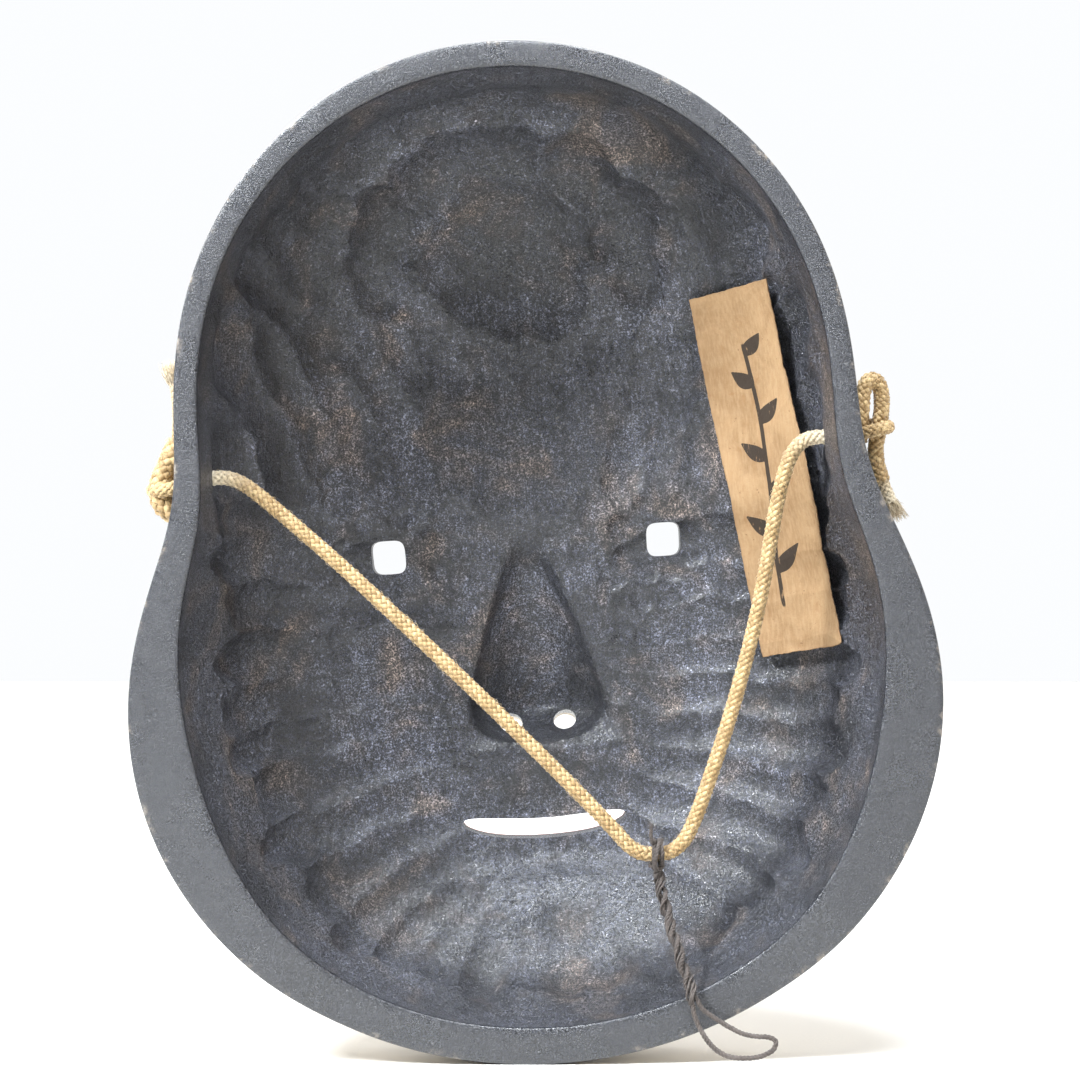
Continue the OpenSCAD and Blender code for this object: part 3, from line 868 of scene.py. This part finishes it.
def build_label(cols=90, rows=400):
    """A thin closed sheet that follows the hollow, with worn edges and a slight curl at its ends."""
    u, v = np.meshgrid(np.linspace(-0.5, 0.5, cols + 1), np.linspace(-0.5, 0.5, rows + 1))
    worn = 0.05 * np.sin(v * 37) + 0.03 * np.sin(v * 143 + 1) + 0.025 * np.sin(v * 301 + 2)
    worn_end = 0.06 * np.sin(u * 23) + 0.04 * np.sin(u * 71 + 1)
    a = u * LABEL_W + np.sign(u) * (2 * np.abs(u)) ** 12 * worn
    b = v * LABEL_L + np.sign(v) * (2 * np.abs(v)) ** 24 * worn_end
    # A nick out of one long edge and a rounded lower corner.
    a -= 0.3 * hump(b, 21, 0.8) * np.clip(2 * u, 0, 1) ** 8
    b += 0.5 * np.clip(2 * u, 0, 1) ** 10 * np.clip(-2 * v, 0, 1) ** 30
    x = LABEL_AT[0] + a * math.cos(LABEL_LEAN) - b * math.sin(LABEL_LEAN)
    z = LABEL_AT[1] + a * math.sin(LABEL_LEAN) + b * math.cos(LABEL_LEAN)
    d = 0.6
    y = hollow_y(x, z)
    sink = 0.12 * carve(x, z)[0]
    out = np.stack([(hollow_y(x + d, z) - hollow_y(x - d, z)) / (2 * d), -np.ones_like(x),
                    (hollow_y(x, z + d) - hollow_y(x, z - d)) / (2 * d)], -1)
    out = unit(out)
    ripple = 0.10 * np.sin(v * 17 + u * 3) + 0.07 * np.sin(v * 31 + u * 7 + 1)
    curl = 1.1 * np.clip(2 * v - 0.8, 0, 1) ** 2 * 4 * (0.4 + u) + 0.5 * np.clip(-2 * v - 0.86, 0, 1) * 3
    lift = 0.55 + 0.5 * ripple + 0.5 * np.clip(curl, 0, 1.3) - sink
    face = np.stack([x, y, z], -1) + out * (lift + LABEL_T)[..., None]
    back = np.stack([x, y, z], -1) + out * lift[..., None]
    n = (cols + 1) * (rows + 1)
    verts = np.vstack([face.reshape(-1, 3), back.reshape(-1, 3)])
    at = np.arange(n).reshape(rows + 1, cols + 1)
    quads = np.stack([at[:-1, :-1], at[:-1, 1:], at[1:, 1:], at[1:, :-1]], -1).reshape(-1, 4)
    rim = np.concatenate([at[0], at[1:, -1], at[-1, -2::-1], at[-2:0:-1, 0]])
    after = np.roll(rim, -1)
    faces = np.vstack([quads, quads[:, ::-1] + n, np.stack([rim, n + rim, n + after, after], -1)])
    obj = make_object("paper_slip", verts, faces)
    margin = np.minimum(LABEL_W / 2 - np.abs(a), LABEL_L / 2 - np.abs(b))
    set_attributes(obj, ink=np.concatenate([sprig(a, b).ravel(), np.zeros(n)]),
        margin=np.concatenate([margin.ravel()] * 2))
    return obj


def sprig(a, b):
    """Ink of a plain brushed sprig: a stem and paired leaves, 0 to 1."""
    bend, stem_half, leaf_half = 1.5, 0.42, 1.45
    stem = bend * np.sin(b * 0.07 + 0.5)
    ink = np.exp(-((a - stem) / stem_half) ** 4) * ease(-31, -28, b) * (1 - ease(26, 29, b))
    for k, at in enumerate((-22, -14, -6, 2, 10, 18, 25)):
        side = 1 if k % 2 == 0 else -1
        size = 7.4 - 0.35 * k
        lean = math.radians(90 - 42 * side)
        dx, dz = a - bend * math.sin(at * 0.07 + 0.5), b - at
        along_leaf = dx * math.cos(lean) + dz * math.sin(lean)
        off_leaf = dz * math.cos(lean) - dx * math.sin(lean)
        t = np.clip(along_leaf / size, 0, 1)
        half = leaf_half * np.sin(np.pi * t ** 0.7)
        leaf = ease(-0.28, 0.1, half - np.abs(off_leaf)) * (along_leaf > 0) * (along_leaf < size)
        ink = np.maximum(ink, leaf)
    return ink


slip = build_label()
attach(slip, "mask")
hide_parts("paper_label")
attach(wood, "mask")
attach(coat, "mask")
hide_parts("mask_shell")
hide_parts("mask_shell")

# ---- materials

class Graph:
    """Short calls that add linked nodes to a new material. Lengths are in mm of the piece's own space."""

    def __init__(self, name):
        self.material = bpy.data.materials.new(name)
        self.material.use_nodes = True
        self.tree = self.material.node_tree
        self.shader = self.tree.nodes["Principled BSDF"]

    def put(self, socket, value):
        if isinstance(value, bpy.types.NodeSocket):
            self.tree.links.new(value, socket)
        else:
            socket.default_value = value

    def node(self, kind, **settings):
        made = self.tree.nodes.new(kind)
        for key, value in settings.items():
            setattr(made, key, value)
        return made

    def read(self, name):
        """A mesh attribute's value."""
        return self.node("ShaderNodeAttribute", attribute_name=name).outputs["Fac"]

    def place(self, stretch=(1, 1, 1)):
        """Object coordinates in mm, each multiplied by its stretch."""
        made = self.node("ShaderNodeVectorMath", operation="MULTIPLY")
        self.tree.links.new(self.node("ShaderNodeTexCoord").outputs["Object"], made.inputs[0])
        made.inputs[1].default_value = [k / MM for k in stretch]
        return made.outputs[0]

    def noise(self, per_mm, detail=4.0, rough=0.55, stretch=(1, 1, 1), warp=0.0):
        made = self.node("ShaderNodeTexNoise")
        self.put(made.inputs["Vector"], self.place(stretch))
        for name, value in dict(Scale=per_mm, Detail=detail, Roughness=rough, Distortion=warp).items():
            made.inputs[name].default_value = value
        return made.outputs["Fac"]

    def cells(self, per_mm, stretch=(1, 1, 1)):
        """Distance to the nearest edge between cells."""
        made = self.node("ShaderNodeTexVoronoi", feature="DISTANCE_TO_EDGE")
        self.put(made.inputs["Vector"], self.place(stretch))
        made.inputs["Scale"].default_value = per_mm
        return made.outputs["Distance"]

    def math(self, operation, *values):
        made = self.node("ShaderNodeMath", operation=operation)
        for socket, value in zip(made.inputs, values):
            self.put(socket, value)
        return made.outputs[0]

    def mul(self, a, b):
        return self.math("MULTIPLY", a, b)

    def muladd(self, a, b, c):
        return self.math("MULTIPLY_ADD", a, b, c)

    def step(self, value, low, high):
        """From 0 at low to 1 at high, eased. low may be over high."""
        made = self.node("ShaderNodeMapRange", interpolation_type="SMOOTHSTEP")
        self.put(made.inputs["Value"], value)
        turned = low > high
        made.inputs["From Min"].default_value = min(low, high)
        made.inputs["From Max"].default_value = max(low, high)
        made.inputs["To Min"].default_value = 1.0 if turned else 0.0
        made.inputs["To Max"].default_value = 0.0 if turned else 1.0
        return made.outputs["Result"]

    def mix(self, amount, low, high):
        """A colour from low to high."""
        made = self.node("ShaderNodeMix", data_type="RGBA")
        self.put(made.inputs[0], amount)
        for socket, value in ((made.inputs[6], low), (made.inputs[7], high)):
            self.put(socket, value if isinstance(value, bpy.types.NodeSocket) else (*value, 1.0))
        return made.outputs[2]

    def tint(self, colour, where, low, high, most, other):
        """A colour turned towards another, by up to most, as where goes from low to high."""
        return self.mix(self.mul(self.step(where, low, high), most), colour, other)

    def times(self, colour, factor):
        """A colour made darker or lighter by a value."""
        made = self.node("ShaderNodeVectorMath", operation="SCALE")
        self.put(made.inputs[0], colour)
        self.put(made.inputs["Scale"], factor)
        return made.outputs[0]

    def shade(self, colour, value, gain, least):
        """A colour times gain x value + least."""
        return self.times(colour, self.muladd(value, gain, least))

    def bump(self, height_mm, strength=1.0):
        made = self.node("ShaderNodeBump")
        made.inputs["Strength"].default_value = strength
        made.inputs["Distance"].default_value = MM
        self.put(made.inputs["Height"], height_mm)
        return made.outputs["Normal"]

    def done(self, colour, roughness, normal=None, **constants):
        self.put(self.shader.inputs["Base Color"], colour)
        self.put(self.shader.inputs["Roughness"], roughness)
        if normal is not None:
            self.put(self.shader.inputs["Normal"], normal)
        for name, value in constants.items():
            self.shader.inputs[name.replace("_", " ")].default_value = value
        return self.material


def lacquered_wood():
    """Thin black lacquer over gouged cypress: brown where worn, painted shade in the creases, a painted
    bluish highlight over the chin, slate on the rim.
    """
    g = Graph("lacquered_wood")
    cloudy = g.noise(0.035, 5, 0.6, warp=0.4)
    patches = g.noise(0.075, 6, 0.62, warp=0.6)
    grain = g.noise(1.0, 5, 0.6, stretch=(1.5, 1.5, 0.07))
    streak = g.noise(1.0, 3, 0.6, stretch=(0.55, 0.55, 0.03))
    fine = g.noise(2.6, 3, 0.7)
    speck = g.noise(1.9, 2, 0.5)
    crest, gouge = g.read("crest"), g.read("gouge")
    rim, brink, chin = g.read("rim"), g.read("brink"), g.read("chin")

    cool, brown, black = (0.040, 0.042, 0.054), (0.076, 0.058, 0.048), (0.004, 0.004, 0.005)
    sand = g.mul(g.step(fine, 0.36, 0.62), g.step(g.noise(0.9, 4, 0.7), 0.30, 0.66))
    colour = g.mix(g.step(cloudy, 0.34, 0.62), g.mix(0.35, black, cool), cool)
    colour = g.tint(colour, patches, 0.50, 0.70, 0.85, brown)
    colour = g.shade(colour, sand, 1.9, 0.32)
    salt = g.step(g.noise(2.7, 3, 0.7), 0.44, 0.60)
    colour = g.shade(colour, salt, 3.3, 0.22)
    colour = g.shade(colour, g.step(grain, 0.3, 0.7), 0.55, 0.7)
    colour = g.shade(colour, g.step(streak, 0.35, 0.65), 0.3, 0.85)
    # Painted shade: darker along the creases between gouge marks, along their edges and round the nose
    # recess.
    colour = g.tint(colour, crest, 0.1, 0.9, 0.75, black)
    colour = g.shade(colour, g.step(gouge, 0.2, 1.8), 0.5, 0.75)
    dust = g.mul(g.step(speck, 0.62, 0.72), g.step(cloudy, 0.3, 0.6))
    colour = g.mix(g.mul(dust, 0.55), colour, (0.24, 0.225, 0.21))
    slate = g.mix(g.step(g.noise(1.6, 5, 0.75), 0.34, 0.66), (0.016, 0.0175, 0.0225), (0.034, 0.036, 0.046))
    slate = g.times(slate, g.muladd(salt, 1.0, 0.42))
    slate = g.tint(slate, fine, 0.62, 0.70, 0.5, (0.16, 0.155, 0.15))
    slate = g.tint(slate, patches, 0.58, 0.74, 0.45, (0.026, 0.026, 0.030))
    colour = g.mix(rim, colour, slate)
    rubbed = g.mul(brink, g.step(g.noise(0.16, 6, 0.75), 0.53, 0.66))
    colour = g.mix(rubbed, colour, (0.25, 0.21, 0.17))
    # A painted highlight: a lighter bluish grey over the chin, where light from above falls on it.
    painted_chin_highlight = g.times(g.mix(cloudy, (0.075, 0.082, 0.105), (0.105, 0.116, 0.146)), sand)
    colour = g.mix(g.mul(chin, 0.6), colour, painted_chin_highlight)

    rough = g.muladd(g.step(patches, 0.3, 0.7), 0.16, 0.25)
    rough = g.muladd(chin, -0.06, rough)
    rough = g.muladd(rim, -0.10, rough)
    rough = g.muladd(salt, -0.14, rough)
    rough = g.muladd(fine, 0.16, rough)
    height = g.mul(grain, 0.15)
    height = g.muladd(salt, 0.09, height)
    height = g.muladd(g.step(speck, 0.60, 0.72), 0.04, height)
    height = g.muladd(g.noise(0.5, 3, 0.5), 0.25, height)
    height = g.mul(height, g.muladd(rim, -0.6, 1.0))
    return g.done(colour, rough, g.bump(height), Specular_IOR_Level=0.8)


def painted_gesso():
    """Aged shell-white over the carved face, with painted hair, brows, eyes and lips, and fine age cracks."""
    g = Graph("painted_gesso")
    soft = g.noise(0.03, 5, 0.6, warp=0.5)
    fine = g.noise(1.6, 4, 0.6)
    hairline = g.noise(0.6, 4, 0.6)
    grime = g.noise(0.11, 6, 0.65, warp=0.8)
    cracks = g.math("MINIMUM", g.cells(0.21, stretch=(1, 1, 0.8)), g.mul(g.cells(0.6), 1.5))
    crack = g.mul(g.step(cracks, 0.014, 0.0), g.step(grime, 0.46, 0.66))
    wobble = g.muladd(hairline, 0.9, -0.45)

    def inside(name, soft_edge=0.25):
        return g.step(g.math("ADD", g.read(name), wobble), soft_edge, -soft_edge)

    ivory = g.mix(g.step(soft, 0.35, 0.68), (0.41, 0.335, 0.235), (0.52, 0.45, 0.345))
    ivory = g.tint(ivory, grime, 0.5, 0.75, 0.45, (0.34, 0.25, 0.16))
    ivory = g.mix(g.mul(g.read("blush"), 0.30), ivory, (0.58, 0.32, 0.22))
    colour = g.mix(g.mul(g.read("brow"), g.muladd(hairline, 0.8, 0.35)), ivory, (0.045, 0.038, 0.036))
    lid = g.step(g.math("ADD", g.read("lid"), wobble), 0.9, 0.3)
    eye = inside("eye")
    colour = g.mix(eye, colour, (0.62, 0.56, 0.46))
    colour = g.mix(g.mul(eye, inside("iris")), colour, (0.022, 0.018, 0.016))
    colour = g.mix(lid, colour, (0.03, 0.024, 0.022))
    lips = inside("lips")
    red = g.mix(g.step(grime, 0.4, 0.7), (0.36, 0.045, 0.028), (0.24, 0.030, 0.022))
    colour = g.mix(lips, colour, red)
    hair = inside("hair")
    strands = g.noise(1.0, 4, 0.6, stretch=(0.9, 0.9, 0.05))
    black = g.mix(g.step(strands, 0.35, 0.7), (0.014, 0.013, 0.014), (0.040, 0.034, 0.031))
    colour = g.mix(hair, colour, black)
    colour = g.mix(g.mul(crack, 0.5), colour, (0.17, 0.12, 0.08))
    rough = g.muladd(g.step(grime, 0.3, 0.7), 0.18, 0.38)
    rough = g.muladd(hair, g.mul(strands, 0.35), rough)
    height = g.muladd(crack, -0.09, g.mul(fine, 0.03))
    height = g.muladd(soft, 0.25, height)
    height = g.muladd(hair, g.mul(strands, 0.3), height)
    return g.done(colour, rough, g.bump(height), Coat_Weight=0.05, Coat_Roughness=0.3)


def aged_paper():
    """Tan handmade paper: long fibres, brown foxing, darker margins and a little brushed ink."""
    g = Graph("aged_paper")
    cloud = g.noise(0.10, 5, 0.6, warp=0.4)
    fibre = g.noise(1.0, 5, 0.65, stretch=(1.6, 1.6, 0.35))
    pulp = g.noise(1.3, 4, 0.7)
    fox = g.noise(0.34, 4, 0.6, warp=0.5)
    fleck = g.noise(1.1, 2, 0.5)
    colour = g.mix(g.step(cloud, 0.35, 0.66), (0.235, 0.140, 0.068), (0.325, 0.205, 0.106))
    colour = g.tint(colour, fibre, 0.35, 0.7, 0.35, (0.41, 0.29, 0.17))
    colour = g.tint(colour, fox, 0.58, 0.74, 0.55, (0.24, 0.125, 0.055))
    colour = g.tint(colour, fleck, 0.70, 0.76, 0.8, (0.16, 0.085, 0.04))
    edge = g.muladd(pulp, 0.9, g.read("margin"))
    colour = g.tint(colour, edge, 1.0, 0.3, 0.5, (0.22, 0.13, 0.07))
    dry = g.mul(g.step(g.read("ink"), 0.35, 0.6), g.step(fibre, 0.25, 0.42))
    colour = g.mix(g.mul(dry, 0.93), colour, (0.016, 0.013, 0.012))
    height = g.muladd(pulp, 0.08, g.mul(fibre, 0.10))
    height = g.muladd(cloud, 0.35, height)
    return g.done(colour, g.muladd(pulp, 0.15, 0.72), g.bump(height), Specular_IOR_Level=0.25)


def golden_braid():
    """Old gold silk: strands that differ a little, painted shade between them where a strand passes under
    another, and pale worn ends.
    """
    g = Graph("golden_braid")
    fibre = g.noise(3.2, 4, 0.6)
    dirt = g.noise(0.10, 5, 0.6)
    tone, end, high = g.read("tone"), g.read("end"), g.read("high")
    colour = g.mix(g.step(tone, 0.1, 0.9), (0.29, 0.185, 0.075), (0.50, 0.355, 0.175))
    colour = g.tint(colour, dirt, 0.48, 0.72, 0.35, (0.24, 0.145, 0.06))
    colour = g.shade(colour, g.step(fibre, 0.3, 0.7), 0.45, 0.78)
    colour = g.tint(colour, end, 0.0, 1.0, 0.75, (0.62, 0.56, 0.44))
    # Painted shade: darker where a strand passes under another and on its inner side, and on the core that
    # shows through the gaps.
    colour = g.tint(colour, high, 0.70, 0.30, 0.9, (0.060, 0.032, 0.012))
    height = g.mul(fibre, 0.12)
    return g.done(colour, g.muladd(fibre, 0.2, 0.45), g.bump(height), Sheen_Weight=0.25, Sheen_Roughness=0.4)


def dark_twine(pale):
    """Blackened hemp. pale lightens it where it is bare and smooth."""
    g = Graph("dark_twine")
    fibre = g.noise(3.0, 4, 0.65)
    worn = g.noise(0.16, 4, 0.6)
    colour = g.mix(g.step(fibre, 0.35, 0.7), (0.028, 0.021, 0.018), (0.095, 0.074, 0.064))
    colour = g.tint(colour, worn, 0.45, 0.7, pale, (0.16, 0.135, 0.122))
    return g.done(colour, g.muladd(fibre, 0.25, 0.5), g.bump(g.mul(fibre, 0.12)),
                  Sheen_Weight=0.15, Sheen_Roughness=0.5)


def wear(material, slot, *pieces):
    for piece in pieces:
        piece.data.materials.clear()
        piece.data.materials.append(material)


wear(lacquered_wood(), "lacquered_wood", wood)
wear(painted_gesso(), "lacquered_wood", coat)
wear(aged_paper(), "aged_paper", slip)
wear(golden_braid(), "braid", cord, knot_left, knot_right, tail_left, tail_right)
wear(dark_twine(0.5), "dark_twine", twine, hitch)

# ---- camera, floor and light

UP = Vector((0.068, 0.0, 1.0)).normalized()        # the mask leans a little to the left as it stands
AIM = Vector((0.0032, 0.0, 0.0026))
CAMERA_AWAY = 0.55
CAMERA_SPAN = 0.2185                                # width of the picture at the rim
SENSOR = 36.0


def make_camera():
    data = bpy.data.cameras.new("camera")
    data.sensor_width = SENSOR
    data.lens = SENSOR * CAMERA_AWAY / CAMERA_SPAN
    camera = add_object("camera", data)
    back = Vector((0, -1, 0))
    turn = Matrix((UP.cross(back), UP, back)).transposed().to_4x4()
    camera.matrix_world = Matrix.Translation(AIM + back * CAMERA_AWAY) @ turn
    bpy.context.scene.camera = camera


def make_floor():
    """A pale table top that the chin stands on, square to the picture's upright."""
    lowest = min(UP.dot(v.co) for v in wood.data.vertices)
    right = UP.cross(Vector((0, -1, 0)))
    places = (-2, -2), (2, -2), (2, 1.5), (-2, 1.5)
    corners = [UP * lowest + right * x + Vector((0, y, 0)) for x, y in places]
    floor = make_object("floor", [tuple(c / MM) for c in corners], [(0, 1, 2, 3)], smooth=False)
    g = Graph("pale_floor")
    tone = g.noise(0.004, 4, 0.6)
    colour = g.mix(tone, (0.80, 0.78, 0.74), (0.86, 0.85, 0.82))
    floor.data.materials.append(g.done(colour, 0.7, g.bump(g.noise(1.2, 3), strength=0.1)))


def area_light(name, place, target, size, watts, colour=(1, 1, 1)):
    data = bpy.data.lights.new(name, "AREA")
    data.shape = "DISK"
    data.size = size
    data.energy = watts
    data.color = colour
    lamp = add_object(name, data)
    lamp.location = place
    lamp.rotation_euler = (Vector(target) - Vector(place)).to_track_quat("-Z", "Y").to_euler()


def make_world(near, far):
    """A pale room: bright in front of the face, where the wall would be, and dimmer behind the camera."""
    world = bpy.data.worlds.new("pale_room")
    world.use_nodes = True
    tree = world.node_tree
    split = tree.nodes.new("ShaderNodeSeparateXYZ")
    tree.links.new(tree.nodes.new("ShaderNodeTexCoord").outputs["Generated"], split.inputs[0])
    span = tree.nodes.new("ShaderNodeMapRange")
    for name, value in (("From Min", -0.2), ("From Max", 0.6), ("To Min", near), ("To Max", far)):
        span.inputs[name].default_value = value
    tree.links.new(split.outputs["Y"], span.inputs["Value"])
    tree.nodes["Background"].inputs["Color"].default_value = (0.97, 0.985, 1.0, 1)
    tree.links.new(span.outputs["Result"], tree.nodes["Background"].inputs["Strength"])
    bpy.context.scene.world = world


make_camera()
make_floor()
make_world(0.31, 1.0)
area_light("key", (-0.46, -0.36, 0.56), (0, 0, -0.02), 0.24, 15.0, (0.93, 0.97, 1.0))
area_light("overhead", (0.05, -0.22, 0.62), (0, 0.02, -0.06), 0.36, 10.0, (0.90, 0.95, 1.0))
area_light("warm_side", (0.80, -0.45, 0.35), (0, 0, -0.02), 0.4, 2.0, (1.0, 0.90, 0.78))
area_light("front", (-0.45, 0.80, 0.60), (0, 0, 0), 0.45, 3.0)
area_light("back_wash", (0, 0.6, 0.8), (0, 1.6, 0), 0.7, 18.0)
bpy.context.scene.view_settings.view_transform = "Standard"
